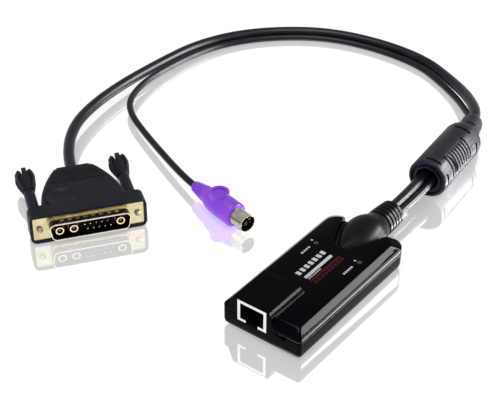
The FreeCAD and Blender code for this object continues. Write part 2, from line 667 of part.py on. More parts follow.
def pin_places():
    """Signal pins, five above and five below, each row shifted a quarter pitch its own way."""
    places = []
    for row in (1, -1):
        for k in range(5):
            places.append((PIN_MID_X + (k - 2) * PIN_PITCH - row * PIN_PITCH / 4, PLUG_MID_Z + row * PIN_ROWS / 2))
    return places


def plug_insulator():
    inside = (D_SIZE[0] - 2 * D_WALL - 0.06, D_SIZE[1] - 2 * D_WALL - 0.06)
    block = d_prism(inside, -0.9, 8.8, D_R - D_WALL)
    tools = [rod(2.6, (x, -2, PLUG_MID_Z), (x, 10, PLUG_MID_Z)) for x in COAX_X]
    tools += [rod(0.5, (x, -2, z), (x, 10, z)) for x, z in pin_places()]
    return cut(block, *tools)


def coax_shields():
    solids = []
    for x in COAX_X:
        front = rod(2.0, (x, -4.1, PLUG_MID_Z), (x, -0.9, PLUG_MID_Z))
        back = rod(2.6, (x, -0.9, PLUG_MID_Z), (x, 10.5, PLUG_MID_Z))
        solids.append(cut(joined([front, back]), rod(1.45, (x, -5, PLUG_MID_Z), (x, 11, PLUG_MID_Z))))
    return group(solids)


def coax_insulators():
    solids = []
    for x in COAX_X:
        sleeve = rod(1.45, (x, -3.3, PLUG_MID_Z), (x, 10.0, PLUG_MID_Z))
        solids.append(cut(sleeve, rod(0.5, (x, -5, PLUG_MID_Z), (x, 11, PLUG_MID_Z))))
    return group(solids)


def coax_pins():
    return group([rod(0.5, (x, -3.6, PLUG_MID_Z), (x, 11.0, PLUG_MID_Z)) for x in COAX_X])


def signal_pins():
    profile = [(-4.35, 0.2), (-4.15, 0.4), (-3.8, 0.5), (11.5, 0.5)]
    return group([turned(profile, 90, (x, 0, z)) for x, z in pin_places()])


def hood_plan():
    """Plan of the hood behind the flange frame: two long convex sides and a narrow back."""
    back = HOOD_BACK
    start = 7.0
    half_start, half_mid, half_back = 20.8, 17.2, 7.7
    left = Part.Arc(V(-half_start, start, 0), V(-half_mid, 24.6, 0), V(-half_back, back, 0)).toShape()
    right = Part.Arc(V(half_start, start, 0), V(half_mid, 24.6, 0), V(half_back, back, 0)).toShape()
    rear = Part.LineSegment(V(-half_back, back, 0), V(half_back, back, 0)).toShape()
    front = Part.LineSegment(V(half_start, start, 0), V(-half_start, start, 0)).toShape()
    return Part.Wire(Part.sortEdges([front, left, rear, right])[0])


def hood_drop(y):
    """How far the hood's top and bottom have sunk at a distance y, towards its tapered back."""
    for (near, start), (far, end) in zip(HOOD_TAPER, HOOD_TAPER[1:]):
        if y <= far:
            return start + (end - start) * (y - near) / (far - near)
    return HOOD_TAPER[-1][1]


def hood_side(low, high):
    """Slab with the hood's outline as seen from the side."""
    upper = [V(-40, y, high - drop) for y, drop in HOOD_TAPER]
    lower = [V(-40, y, low + drop) for y, drop in reversed(HOOD_TAPER)]
    return prism(Part.makePolygon(upper + lower + upper[:1]), V(80, 0, 0))


def video_hood():
    low, high = HOOD_Z
    plan = hood_plan()
    plan.translate(V(0, 0, low))
    body = prism(plan, V(0, 0, high - low))
    rims = [e for e in body.Edges if e.BoundBox.ZLength < 0.01 and e.BoundBox.YMax > 8]
    body = body.makeFillet(HOOD_ROUND, rims).common(hood_side(low, high))
    half, depth, tall = BLOCK[0] / 2, BLOCK[1], BLOCK[2]
    block = rounded_box((-half, half), (BLOCK_FRONT, BLOCK_FRONT + depth), (0, tall), BLOCK_R)

    details = []
    trim = prism(hood_plan(), V(0, 0, 40))
    trim.translate(V(0, 0, -5))
    for k in range(RIDGES):
        y = RIDGE_START + k * RIDGE_PITCH
        drop = hood_drop(y + RIDGE_WIDTH / 2)
        half_long = 13.5 - 0.9 * k
        for z in ((high - drop - 0.6, high - drop + 0.4), (low + drop - 0.4, low + drop + 0.6)):
            details.append(box((-half_long, half_long), (y, y + RIDGE_WIDTH), z).common(trim))
    details.append(rod(MEDAL_R[0], (*MEDAL_AT, high - 0.6), (*MEDAL_AT, high + MEDAL_RISE)))
    body = joined([body, block] + details)

    dish = Part.makeCone(MEDAL_R[2], MEDAL_R[1], 2 * MEDAL_RISE, V(*MEDAL_AT, high - MEDAL_RISE), UP)
    tools = [dish, rod(MEDAL_R[1], (*MEDAL_AT, high + MEDAL_RISE), (*MEDAL_AT, high + 2))]
    gap = 0.08
    flange_half, flange_tall = FLANGE[0] / 2 + gap, FLANGE[1] / 2 + gap
    thick = FLANGE_THICK + REAR_FLANGE_THICK
    tools.append(box((-flange_half, flange_half), (-2, thick), (PLUG_MID_Z - flange_tall, PLUG_MID_Z + flange_tall)))
    tools.append(d_prism((D_SIZE[0] + 1.5, D_SIZE[1] + 1.5), -1, 9.1, D_R + 0.6))
    tools.append(box((-18.2, 18.2), (8.9, 15.0), (PLUG_MID_Z - 3.6, PLUG_MID_Z + 3.6)))
    tools += [screw_rod(side, 3.1, thick, 60) for side in (-1, 1)]
    return cut(body, *tools)


def jackscrew(side):
    x = side * SCREW_SPACING / 2
    tip = Part.makeCone(SCREW_R - 0.5, SCREW_R, 0.5, V(x, -1.6, PLUG_MID_Z), V(0, 1, 0))
    return joined([tip, screw_rod(side, SCREW_R, -1.1, 22.0)])


def retaining_clip(side):
    start = SLEEVE_START - 0.6
    ring = screw_rod(side, 2.35, start, start + 0.5)
    return ring.cut(screw_rod(side, SCREW_R + 0.06, 0, 10))


def thumb_knob(side):
    """Long moulded thumbscrew: a plain sleeve, a groove, then a flared head of six fins."""
    x = side * SCREW_SPACING / 2
    sleeve = [(SLEEVE_START, SLEEVE_R - 0.3), (SLEEVE_START + 0.4, SLEEVE_R), (KNOB_GROOVE - 0.9, SLEEVE_R),
              (KNOB_GROOVE - 0.6, SLEEVE_R - 0.5), (KNOB_GROOVE, SLEEVE_R - 0.6), (KNOB_GROOVE + 0.4, SLEEVE_R + 0.1),
              (KNOB_GROOVE + 2.0, 3.0), (41.0, 3.6), (44.4, 2.7)]
    core = placed(turned(sleeve), (x, 0, PLUG_MID_Z), 90)
    fins = []
    for k in range(6):
        outline = Part.makePolygon([V(1.0, 31.6, 0), V(3.0, 31.8, 0), V(4.7, 38.8, 0), V(5.1, 42.3, 0), V(4.9, 45.4, 0),
                                    V(4.1, 47.4, 0), V(2.5, 47.4, 0), V(1.7, 44.4, 0), V(1.0, 42.0, 0), V(1.0, 31.6, 0)])
        fin = prism(outline, V(0, 0, 2.1))
        fin.translate(V(0, 0, -1.05))
        fin.rotate(V(0, 0, 0), V(0, 1, 0), 60 * k + 30)
        fin.translate(V(x, 0, PLUG_MID_Z))
        fins.append(fin)
    knob = joined([core] + fins)
    return cut(knob, screw_rod(side, SCREW_R, 0, 22.0))


# --- mini-DIN plug ---------------------------------------------------------------------------------
def on_din(shape):
    return placed(shape, (DIN_AT[0], DIN_AT[1], DIN_Z), DIN_YAW)


def din_overmould():
    profile = []
    for k in range(5):
        start = 0.9 + k * 1.9
        radius = 2.7 + 0.33 * k
        profile += [(start - 0.9, radius - 0.45), (start - 0.1, radius - 0.4), (start + 0.1, radius + 0.15), (start + 0.9, radius + 0.2)]
    profile += [(10.4, 4.2), (13.0, 5.15), (16.0, 5.9), (19.0, DIN_R), (31.4, DIN_R), (32.1, DIN_R - 0.3), (DIN_BODY_LEN, DIN_R - 0.9)]
    body = turned(profile)
    boss = rod(BOSS_R[0], (BOSS_X, 0, 3.0), (BOSS_X, 0, DIN_R + BOSS_RISE))
    body = joined([body, boss])
    tools = [rod(BOSS_R[1], (BOSS_X, 0, DIN_R), (BOSS_X, 0, 9)), rod(BARREL_R, (28.0, 0, 0), (40.0, 0, 0))]
    for side in (-1, 1):
        arrow = Part.makePolygon([V(23.6, 0, -1.6), V(26.2, 0, 0), V(23.6, 0, 1.6), V(23.6, 0, -1.6)])
        mark = prism(arrow, V(0, side * 3, 0))
        mark.translate(V(0, side * (DIN_R - MARK_DEPTH), 0))
        tools.append(mark)
    return cut(body, *tools)


def din_barrel():
    outside = rod(BARREL_R, (28.0, 0, 0), (DIN_LEN, 0, 0))
    tools = [rod(BARREL_R - 0.4, (27.0, 0, 0), (DIN_LEN + 1, 0, 0))]
    for angle in (90, 210, 330):
        groove = box((33.2, DIN_LEN + 1), (-0.7, 0.7), (BARREL_R - 0.15, BARREL_R + 1))
        groove.rotate(V(0, 0, 0), V(1, 0, 0), angle - 90)
        tools.append(groove)
    return cut(outside, *tools)


def din_pin_places():
    """Six pins on a ring, with the wide gap at the bottom for the key."""
    ring = 2.75
    return [(ring * math.cos(math.radians(a)), ring * math.sin(math.radians(a))) for a in (-18, 22, 62, 118, 158, 198)]


def din_insulator():
    base = rod(BARREL_R - 0.4, (28.2, 0, 0), (34.6, 0, 0))
    key = box((34.0, 39.6), (-1.0, 1.0), (-1.5, 0.5))
    holes = [rod(0.5, (28, y, z), (41, y, z)) for y, z in din_pin_places()]
    return cut(joined([base, key]), *holes)


def din_pins():
    return group([rod(0.5, (28.6, y, z), (39.4, y, z)) for y, z in din_pin_places()])


# --- all nodes ---------------------------------------------------------------------------------------
def build():
    nodes = {
        "upper_shell": upper_shell(),
        "lower_shell": lower_shell(),
        "cable_boot": cable_boot(),
        "circuit_board": circuit_board(),
        "board_components": board_components(),
        "led_lens_green": led_lens("green"),
        "led_lens_amber": led_lens("amber"),
        "case_screws": case_screws(),
        "rj45_shield": rj45_shield(),
        "rj45_insulator": rj45_insulator(),
        "rj45_contacts": rj45_contacts(),
        "recovery_switch_body": switch_body(),
        "recovery_switch_slider": switch_slider(),
        "ferrite_jacket": ferrite_jacket(),
        "ferrite_core": ferrite_core(),
    }
    on_video_plug = {
        "video_hood": video_hood(),
        "plug_shell": plug_shell(),
        "plug_rear_shell": rear_shell(),
        "plug_insulator": plug_insulator(),
        "coax_shields": coax_shields(),
        "coax_insulators": coax_insulators(),
        "coax_pins": coax_pins(),
        "signal_pins": signal_pins(),
    }
    for name, side in (("left", -1), ("right", 1)):
        on_video_plug[name + "_jackscrew"] = jackscrew(side)
        on_video_plug[name + "_retaining_clip"] = retaining_clip(side)
        on_video_plug[name + "_thumb_knob"] = thumb_knob(side)
    nodes.update({name: on_plug(shape) for name, shape in on_video_plug.items()})
    on_din_plug = {
        "din_overmould": din_overmould(),
        "din_barrel": din_barrel(),
        "din_insulator": din_insulator(),
        "din_pins": din_pins(),
    }
    nodes.update({name: on_din(shape) for name, shape in on_din_plug.items()})
    # each cord runs a little way into the piece at either end and is cut flush with its face
    ends = ("cable_boot", "video_hood", "din_overmould")
    glands = [nodes[name] for name in ends]
    for name, route, radius in (("video_cord", VIDEO_ROUTE, VIDEO_R), ("ps2_cord", PS2_ROUTE, PS2_R)):
        nodes[name] = cut(tube(name, route, radius), *glands)
    return nodes


def write(nodes):
    os.makedirs("parts", exist_ok=True)
    for name, shape in nodes.items():
        shape.exportStep("parts/" + name + ".step")


write(build())
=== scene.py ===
"""Looks of the KVM dongle: cords, print, finishes, floor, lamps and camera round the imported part."""
import math

import bpy
import numpy as np
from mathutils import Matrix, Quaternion, Vector


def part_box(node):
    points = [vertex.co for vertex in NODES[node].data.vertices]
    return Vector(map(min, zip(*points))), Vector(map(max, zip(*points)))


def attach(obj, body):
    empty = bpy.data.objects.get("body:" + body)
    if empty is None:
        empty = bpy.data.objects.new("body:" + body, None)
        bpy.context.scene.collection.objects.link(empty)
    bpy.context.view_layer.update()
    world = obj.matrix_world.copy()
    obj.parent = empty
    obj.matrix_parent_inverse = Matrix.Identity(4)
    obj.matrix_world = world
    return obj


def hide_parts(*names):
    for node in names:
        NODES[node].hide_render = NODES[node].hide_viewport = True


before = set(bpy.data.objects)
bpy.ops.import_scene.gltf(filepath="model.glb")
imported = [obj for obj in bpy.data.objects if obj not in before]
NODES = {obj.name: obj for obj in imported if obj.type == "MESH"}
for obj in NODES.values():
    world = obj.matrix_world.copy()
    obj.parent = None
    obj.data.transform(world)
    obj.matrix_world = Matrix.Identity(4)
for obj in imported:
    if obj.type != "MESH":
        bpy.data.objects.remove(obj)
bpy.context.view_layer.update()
MM = 0.001


# --- mesh helpers ---------------------------------------------------------------------------
def mesh_piece(name, points, faces, material, smooth=True):
    """A mesh object at the origin from an array of points in metres and a list of faces."""
    mesh = bpy.data.meshes.new(name)
    mesh.from_pydata(np.asarray(points, float).reshape(-1, 3).tolist(), [], faces)
    mesh.polygons.foreach_set("use_smooth", np.full(len(mesh.polygons), smooth))
    mesh.materials.append(material)
    mesh.validate()
    mesh.update()
    piece = bpy.data.objects.new(name, mesh)
    bpy.context.scene.collection.objects.link(piece)
    return piece


def raised_patch(centre, half_x, half_y, corner, base, top, sides=40):
    """Points and faces of a flat patch whose outline is a rounded rectangle.

    The outline at angle a is the superellipse (half_x * |cos a| ** p, half_y * |sin a| ** p) with signs
    kept and p = corner, so p = 1 is an ellipse and a small p is nearly a rectangle.  The patch is a ring
    at the base height, the same ring at the top height, and a cap on each."""
    angle = np.linspace(0, 2 * math.pi, sides, endpoint=False)
    x = centre[0] + half_x * np.sign(np.cos(angle)) * np.abs(np.cos(angle)) ** corner
    y = centre[1] + half_y * np.sign(np.sin(angle)) * np.abs(np.sin(angle)) ** corner
    low = np.stack([x, y, np.full(sides, base)], axis=1)
    high = np.stack([x, y, np.full(sides, top)], axis=1)
    after = [(i + 1) % sides for i in range(sides)]
    walls = [(i, after[i], after[i] + sides, i + sides) for i in range(sides)]
    caps = [tuple(range(sides - 1, -1, -1)), tuple(range(sides, 2 * sides))]
    return np.concatenate([low, high]), walls + caps


def patches(name, material, outlines):
    """One piece of several raised patches."""
    points, faces = [], []
    for outline in outlines:
        start = sum(len(block) for block in points)
        block, block_faces = raised_patch(*outline)
        points.append(block)
        faces += [tuple(i + start for i in face) for face in block_faces]
    return mesh_piece(name, np.concatenate(points), faces, material, smooth=False)


# --- materials --------------------------------------------------------------------------------
class Finish:
    """A procedural material: Principled shader with detail worked out from Object coordinates."""

    def __init__(self, name, colour, rough, metallic=0.0, specular=0.5):
        self.material = bpy.data.materials.new(name)
        self.material.use_nodes = True
        tree = self.material.node_tree
        self.nodes, self.links = tree.nodes, tree.links
        self.shader = self.nodes["Principled BSDF"]
        self.colour, self.rough = colour, rough
        self.shader.inputs["Base Color"].default_value = (*colour, 1)
        self.shader.inputs["Roughness"].default_value = rough
        self.shader.inputs["Metallic"].default_value = metallic
        self.shader.inputs["Specular IOR Level"].default_value = specular
        self.place = self.nodes.new("ShaderNodeTexCoord")
        self.height = None

    def noise(self, scale, detail=4.0, stretch=None):
        """Noise value, its pattern stretched along an axis when asked."""
        texture = self.nodes.new("ShaderNodeTexNoise")
        texture.inputs["Scale"].default_value = scale
        texture.inputs["Detail"].default_value = detail
        source = self.place.outputs["Object"]
        if stretch:
            mapping = self.nodes.new("ShaderNodeMapping")
            mapping.inputs["Scale"].default_value = stretch
            self.links.new(source, mapping.inputs["Vector"])
            source = mapping.outputs["Vector"]
        self.links.new(source, texture.inputs["Vector"])
        return texture.outputs["Fac"]

    def vary(self, value, other_colour, low=0.35, high=0.65):
        """Blend the colour towards another one where a value is high."""
        ramp = self.nodes.new("ShaderNodeValToRGB")
        ramp.color_ramp.elements[0].position = low
        ramp.color_ramp.elements[1].position = high
        ramp.color_ramp.elements[0].color = (*self.colour, 1)
        ramp.color_ramp.elements[1].color = (*other_colour, 1)
        self.links.new(value, ramp.inputs["Fac"])
        self.links.new(ramp.outputs["Color"], self.shader.inputs["Base Color"])

    def vary_rough(self, value, low, high):
        """Let the roughness run between two values."""
        span = self.nodes.new("ShaderNodeMapRange")
        span.inputs["From Min"].default_value = 0.3
        span.inputs["From Max"].default_value = 0.7
        span.inputs["To Min"].default_value = low
        span.inputs["To Max"].default_value = high
        self.links.new(value, span.inputs["Value"])
        self.links.new(span.outputs["Result"], self.shader.inputs["Roughness"])

    def round_edges(self, radius):
        """Shade sharp edges as if rounded by a radius in metres."""
        edge = self.nodes.new("ShaderNodeBevel")
        edge.samples = 12
        edge.inputs["Radius"].default_value = radius
        self.links.new(edge.outputs["Normal"], self.shader.inputs["Normal"])
        self.height = edge.outputs["Normal"]

    def beyond(self, origin, direction, limit):
        """One where a point lies further than a limit along a direction from an origin, else zero."""
        away = self.nodes.new("ShaderNodeVectorMath")
        away.operation = "SUBTRACT"
        away.inputs[1].default_value = origin
        self.links.new(self.place.outputs["Object"], away.inputs[0])
        along = self.nodes.new("ShaderNodeVectorMath")
        along.operation = "DOT_PRODUCT"
        along.inputs[1].default_value = direction
        self.links.new(away.outputs["Vector"], along.inputs[0])
        test = self.nodes.new("ShaderNodeMath")
        test.operation = "GREATER_THAN"
        test.inputs[1].default_value = limit
        self.links.new(along.outputs["Value"], test.inputs[0])
        return test.outputs[0]

    def both(self, first, second):
        """One where two masks are both one."""
        product = self.nodes.new("ShaderNodeMath")
        product.operation = "MULTIPLY"
        self.links.new(first, product.inputs[0])
        self.links.new(second, product.inputs[1])
        return product.outputs[0]

    def paint(self, mask, colour):
        """Another colour where a mask is one."""
        mix = self.nodes.new("ShaderNodeMix")
        mix.data_type = "RGBA"
        below = self.shader.inputs["Base Color"].links[0].from_socket
        self.links.new(mask, mix.inputs[0])
        self.links.new(below, mix.inputs[6])
        mix.inputs[7].default_value = (*colour, 1)
        self.links.new(mix.outputs[2], self.shader.inputs["Base Color"])

    def bump(self, value, depth, strength=1.0):
        """Raise the surface by a value times a depth in metres."""
        bump = self.nodes.new("ShaderNodeBump")
        bump.inputs["Distance"].default_value = depth
        bump.inputs["Strength"].default_value = strength
        if self.height:
            self.links.new(self.height, bump.inputs["Normal"])
        self.links.new(value, bump.inputs["Height"])
        self.links.new(bump.outputs["Normal"], self.shader.inputs["Normal"])
        self.height = bump.outputs["Normal"]


def moulded(name, colour, rough, tint, grain=2500, depth=0.00001, specular=0.3, edge=None):
    """Moulded plastic: faint mottling, slightly uneven gloss, a fine grain and soft edges."""
    finish = Finish(name, colour, rough, specular=specular)
    if edge:
        finish.round_edges(edge)
    cloud = finish.noise(90)
    finish.vary(cloud, tint)
    finish.vary_rough(cloud, rough * 0.85, rough * 1.15)
    finish.bump(finish.noise(grain), depth)
    return finish


def plated(name, colour, rough, tint):
    """Plated sheet metal: cloudy colour and fine rolling lines."""
    finish = Finish(name, colour, rough, metallic=1.0)
    finish.vary(finish.noise(160), tint)
    finish.vary_rough(finish.noise(700, stretch=(1, 0.08, 1)), rough * 0.7, rough * 1.4)
    finish.bump(finish.noise(900, stretch=(1, 0.05, 1)), 0.000006)
    return finish


# The video plug's face: a point on it in millimetres, and the direction in which it looks.
PLUG_FACE = (-110.9, -39.75, 0)
PLUG_OUTWARD = (0.8100, -0.5864, 0)
# What stands out of the face further than these, in millimetres, is painted apart: past SHELL_FOOT the D
# shell gets painted shade, past SHELL_RIM a painted highlight on its rim, and past COAX_RINGS the shields
# show their gold over painted shade.
SHELL_FOOT = 0.9
SHELL_RIM = 4.6
COAX_RINGS = 3.9
# Height over which the upper side of the D shell gets a painted highlight between its dimples, in
# millimetres.
TOP_HIGHLIGHT_HEIGHT = 12.55


def plug_depth(finish, limit):
    """Mask of what stands further out of the video plug's face than a limit in millimetres."""
    to_node = NODES["plug_shell"].matrix_world.inverted()
    face = to_node @ (Vector(PLUG_FACE) * MM)
    outward = to_node.to_3x3() @ Vector(PLUG_OUTWARD)
    return finish.beyond(face, outward, limit * MM)


def shell_plating_and_painted_light():
    """Yellow chromate on the flange; the D shell before it gets painted shade, with painted highlights on
    its rim and on its upper side between the dimples.
    """
    finish = plated("yellow_chromate_painted_light", (0.68, 0.61, 0.38), 0.26, (0.60, 0.52, 0.28))
    shell = plug_depth(finish, SHELL_FOOT)
    top_highlight_mask = finish.beyond((0, 0, 0), (0, 0, 1), TOP_HIGHLIGHT_HEIGHT * MM)
    # Painted shade on the D shell, then a painted highlight on its upper side and on its rim.
    finish.paint(shell, (0.05, 0.045, 0.04))
    finish.paint(finish.both(shell, top_highlight_mask), (0.80, 0.70, 0.55))
    finish.paint(plug_depth(finish, SHELL_RIM), (0.90, 0.80, 0.72))
    return finish


def coax_plating_and_painted_shade():
    """Coaxial shields: gold on their front rings, with painted shade inside the shell."""
    # The dark base colour is painted shade inside the shell; the front rings get the shields' gold.
    finish = plated("coax_gold_painted_shade", (0.12, 0.08, 0.04), 0.3, (0.10, 0.07, 0.04))
    finish.paint(plug_depth(finish, COAX_RINGS), (0.98, 0.76, 0.48))
    return finish


GLOSS_BLACK = moulded("gloss_black_casing", (0.0012, 0.0012, 0.0026), 0.10, (0.002, 0.002, 0.004),
                      1400, 0.000002, specular=0.028, edge=0.6 * MM)
BOOT_BLACK = moulded("boot_rubber", (0.003, 0.003, 0.005), 0.32, (0.005, 0.005, 0.007),
                     1800, 0.000003, specular=0.07, edge=0.25 * MM)
CORD_BLACK = moulded("cord_jacket", (0.006, 0.005, 0.012), 0.34, (0.009, 0.008, 0.017),
                     1600, 0.000002, specular=0.16)
FERRITE_BLACK = moulded("ferrite_jacket", (0.013, 0.011, 0.022), 0.38, (0.017, 0.015, 0.028),
                        1800, 0.000002, specular=0.15, edge=0.3 * MM)
HOOD_BLACK = moulded("plug_hood", (0.008, 0.008, 0.015), 0.42, (0.012, 0.012, 0.020),
                     2200, 0.000006, specular=0.09, edge=0.3 * MM)
DARK_PLASTIC = moulded("dark_insert", (0.002, 0.002, 0.002), 0.4, (0.003, 0.004, 0.003), specular=0.06)
PURPLE = moulded("purple_grip", (0.30, 0.085, 0.83), 0.34, (0.34, 0.10, 0.90),
                 2200, 0.000006, specular=0.12, edge=0.3 * MM)
BARREL_NICKEL = plated("barrel_nickel", (0.66, 0.63, 0.53), 0.12, (0.42, 0.40, 0.33))
BOARD_GREEN = moulded("board_mask", (0.01, 0.10, 0.04), 0.35, (0.015, 0.13, 0.05))
NICKEL = plated("bright_nickel", (0.86, 0.84, 0.79), 0.14, (0.78, 0.76, 0.71))
# Yellow chromate plating, with painted shade and painted highlights on the D shell.
CHROMATE_AND_PAINTED_LIGHT = shell_plating_and_painted_light()
# Gold coax shields, with painted shade inside the D shell.
COAX_GOLD_AND_PAINTED_SHADE = coax_plating_and_painted_shade()
GOLD = plated("gold_contact", (0.95, 0.62, 0.26), 0.18, (0.85, 0.52, 0.20))
TINNED = plated("tinned_pin", (0.16, 0.16, 0.11), 0.3, (0.12, 0.12, 0.08))
STEEL = plated("zinc_screw", (0.42, 0.38, 0.30), 0.28, (0.30, 0.26, 0.2))
WHITE_INK = moulded("white_print", (0.74, 0.76, 0.78), 0.45, (0.62, 0.64, 0.67), specular=0.1)
RED_INK = moulded("red_print", (0.075, 0.006, 0.007), 0.4, (0.05, 0.004, 0.005), specular=0.05)
GREEN_LENS = moulded("green_lens", (0.01, 0.06, 0.03), 0.2, (0.02, 0.08, 0.04))
AMBER_LENS = moulded("amber_lens", (0.06, 0.035, 0.015), 0.2, (0.08, 0.05, 0.02))

NODE_FINISH = {
    "upper_shell": GLOSS_BLACK, "lower_shell": GLOSS_BLACK, "case_screws": STEEL, "cable_boot": BOOT_BLACK,
    "circuit_board": BOARD_GREEN, "board_components": DARK_PLASTIC,
    "led_lens_green": GREEN_LENS, "led_lens_amber": AMBER_LENS,
    "rj45_shield": NICKEL, "rj45_insulator": DARK_PLASTIC, "rj45_contacts": GOLD,
    "recovery_switch_body": DARK_PLASTIC, "recovery_switch_slider": DARK_PLASTIC,
    "ferrite_jacket": FERRITE_BLACK, "ferrite_core": DARK_PLASTIC,
    "video_hood": HOOD_BLACK, "plug_shell": CHROMATE_AND_PAINTED_LIGHT, "plug_rear_shell": CHROMATE_AND_PAINTED_LIGHT,
    "plug_insulator": DARK_PLASTIC, "coax_shields": COAX_GOLD_AND_PAINTED_SHADE, "coax_insulators": DARK_PLASTIC,
    "coax_pins": TINNED, "signal_pins": TINNED,
    "left_jackscrew": STEEL, "right_jackscrew": STEEL,
    "left_retaining_clip": NICKEL, "right_retaining_clip": NICKEL,
    "left_thumb_knob": HOOD_BLACK, "right_thumb_knob": HOOD_BLACK,
    "din_overmould": PURPLE, "din_barrel": BARREL_NICKEL, "din_insulator": DARK_PLASTIC, "din_pins": TINNED,
}


JOIN_DISTANCE = 0.002 * MM
SMOOTH_ANGLE = math.radians(32)


def smooth_group():
    """Geometry nodes that join a node's triangles and smooth every edge flatter than SMOOTH_ANGLE."""
    group = bpy.data.node_groups.new("smooth_curved_faces", "GeometryNodeTree")
    group.interface.new_socket("Geometry", in_out="INPUT", socket_type="NodeSocketGeometry")
    group.interface.new_socket("Geometry", in_out="OUTPUT", socket_type="NodeSocketGeometry")
    start, end = group.nodes.new("NodeGroupInput"), group.nodes.new("NodeGroupOutput")
    merge = group.nodes.new("GeometryNodeMergeByDistance")
    merge.inputs["Distance"].default_value = JOIN_DISTANCE
    faces = group.nodes.new("GeometryNodeSetShadeSmooth")
    edges = group.nodes.new("GeometryNodeSetShadeSmooth")
    edges.domain = "EDGE"
    angle = group.nodes.new("GeometryNodeInputMeshEdgeAngle")
    under = group.nodes.new("FunctionNodeCompare")
    under.operation = "LESS_THAN"
    under.inputs[1].default_value = SMOOTH_ANGLE
    link = group.links.new
    link(start.outputs[0], merge.inputs["Geometry"])
    link(merge.outputs["Geometry"], faces.inputs["Geometry"])
    link(faces.outputs["Geometry"], edges.inputs["Geometry"])
    link(angle.outputs["Unsigned Angle"], under.inputs[0])
    link(under.outputs["Result"], edges.inputs["Shade Smooth"])
    link(edges.outputs["Geometry"], end.inputs[0])
    return group


def finish_nodes():
    """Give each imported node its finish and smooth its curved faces."""
    group = smooth_group()
    for name, finish in NODE_FINISH.items():
        node = NODES[name]
        node.data.materials.clear()
        node.data.materials.append(finish.material)
        node.modifiers.new("smooth", "NODES").node_group = group


# --- cords --------------------------------------------------------------------------------------
# Diameters and routes in millimetres, from the boot to each plug.
VIDEO_DIAMETER = 5.8
VIDEO_ROUTE = [
    (-1.7, 51.0, 9.2), (-1.9, 69.0, 9.1), (-3.2, 86.0, 10.2), (-4.3, 104.5, 11.9), (-4.9, 128.3, 12.0),
    (-9.5, 148.3, 11.8), (-16.4, 158.5, 10.5), (-29.9, 173.0, 6.6), (-47.9, 186.2, 3.3),
    (-68.3, 195.8, 2.9), (-97.1, 197.4, 2.9), (-127.6, 191.2, 2.9), (-150.8, 177.3, 2.9),
    (-171.1, 156.0, 3.1), (-183.0, 129.1, 3.6), (-185.0, 97.0, 4.8), (-184.6, 60.3, 6.2),
    (-179.7, 30.7, 7.2), (-171.2, 11.2, 7.7), (-155.9, -7.1, 7.9), (-143.7, -16.0, 7.9),
]
PS2_DIAMETER = 3.5
PS2_ROUTE = [
    (3.0, 51.0, 9.2), (2.9, 70.0, 9.0), (1.7, 87.0, 9.8), (-0.9, 105.2, 7.4), (-4.6, 127.5, 7.2),
    (-10.2, 148.6, 6.9), (-22.2, 160.8, 4.4), (-34.2, 172.0, 2.3), (-50.3, 181.9, 1.75),
    (-69.3, 190.6, 1.75), (-97.3, 192.2, 1.75), (-125.8, 186.4, 1.75), (-147.5, 173.2, 1.75),
    (-166.7, 153.1, 1.8), (-177.9, 127.9, 2.4), (-179.9, 84.8, 4.4), (-174.3, 61.7, 4.7),
    (-165.1, 49.7, 4.5), (-146.0, 39.1, 4.2), (-99.0, 17.4, 5.4), (-90.3, 15.0, 6.2),
]


def cord_curve(name, route, diameter, finish):
    """A round cord along the smooth NURBS line whose control points are the route."""
    data = bpy.data.curves.new(name, "CURVE")
    data.dimensions = "3D"
    data.resolution_u = 10
    data.bevel_depth = diameter / 2 * MM
    data.bevel_resolution = 6
    data.use_fill_caps = True
    spline = data.splines.new("NURBS")
    spline.points.add(len(route) - 1)
    for point, place in zip(spline.points, route):
        point.co = (*[value * MM for value in place], 1)
    spline.use_endpoint_u = True
    spline.order_u = 3
    spline.use_smooth = True
    data.materials.append(finish.material)
    cord = bpy.data.objects.new(name, data)
    bpy.context.scene.collection.objects.link(cord)
    return cord


def add_cord(name, node, route, diameter):
    cord = cord_curve(name, route, diameter, CORD_BLACK)
    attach(cord, "dongle")
    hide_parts(node)


def add_cords():
    """The thick cord to the video plug and the thin one to the keyboard plug."""
    add_cord("video_cord_line", "video_cord", VIDEO_ROUTE, VIDEO_DIAMETER)
    add_cord("ps2_cord_line", "ps2_cord", PS2_ROUTE, PS2_DIAMETER)


# --- print on the lid ------------------------------------------------------------------------------
LID_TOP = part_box("led_lens_green")[1][2] - 0.1 * MM
PRINT_HEIGHT = 0.04 * MM
PRINT_SINK = 0.02 * MM
# Rows in millimetres: x, the y values of both ends, number of bars, width, and the share of its place
# that a bar fills.  The white rows stand for the heading, a small line and the two indicators' words.
WHITE_ROWS = [
    (-4.1, (-20.3, 1.4), 7, 2.7, 0.62),
    (1.8, (-19.5, -10.1), 6, 0.6, 0.7),
    (-11.4, (-6.7, 0.3), 4, 1.0, 0.7),
    (12.0, (-7.5, -0.1), 5, 1.0, 0.7),
]
RED_ROWS = [(5.4, (-20.1, 2.5), 9, 1.7, 0.75)]
# Single bars in millimetres: x, y, width, length and, for a round dot, the roundness of its outline.
WHITE_BARS = [(0.1, -9.5, 1.7, 20.4), (-13.4, 4.6, 1.0, 1.0, 1.0), (10.6, 3.9, 1.0, 1.0, 1.0)]
RED_BARS = [(3.4, -8.8, 1.4, 22.6)]


def bar(x, y, wide, long, corner=0.12):
    """Outline of a printed bar from its centre and size in millimetres."""
    return ((x * MM, y * MM), wide / 2 * MM, long / 2 * MM, corner,
            LID_TOP - PRINT_SINK, LID_TOP + PRINT_HEIGHT)


def row(x, y, count, wide, fill):
    """Outlines of a row of equal bars between two y values, each filling a share of its place."""
    pitch = (y[1] - y[0]) / count
    return [bar(x, y[0] + pitch * (k + 0.5), wide, pitch * fill) for k in range(count)]


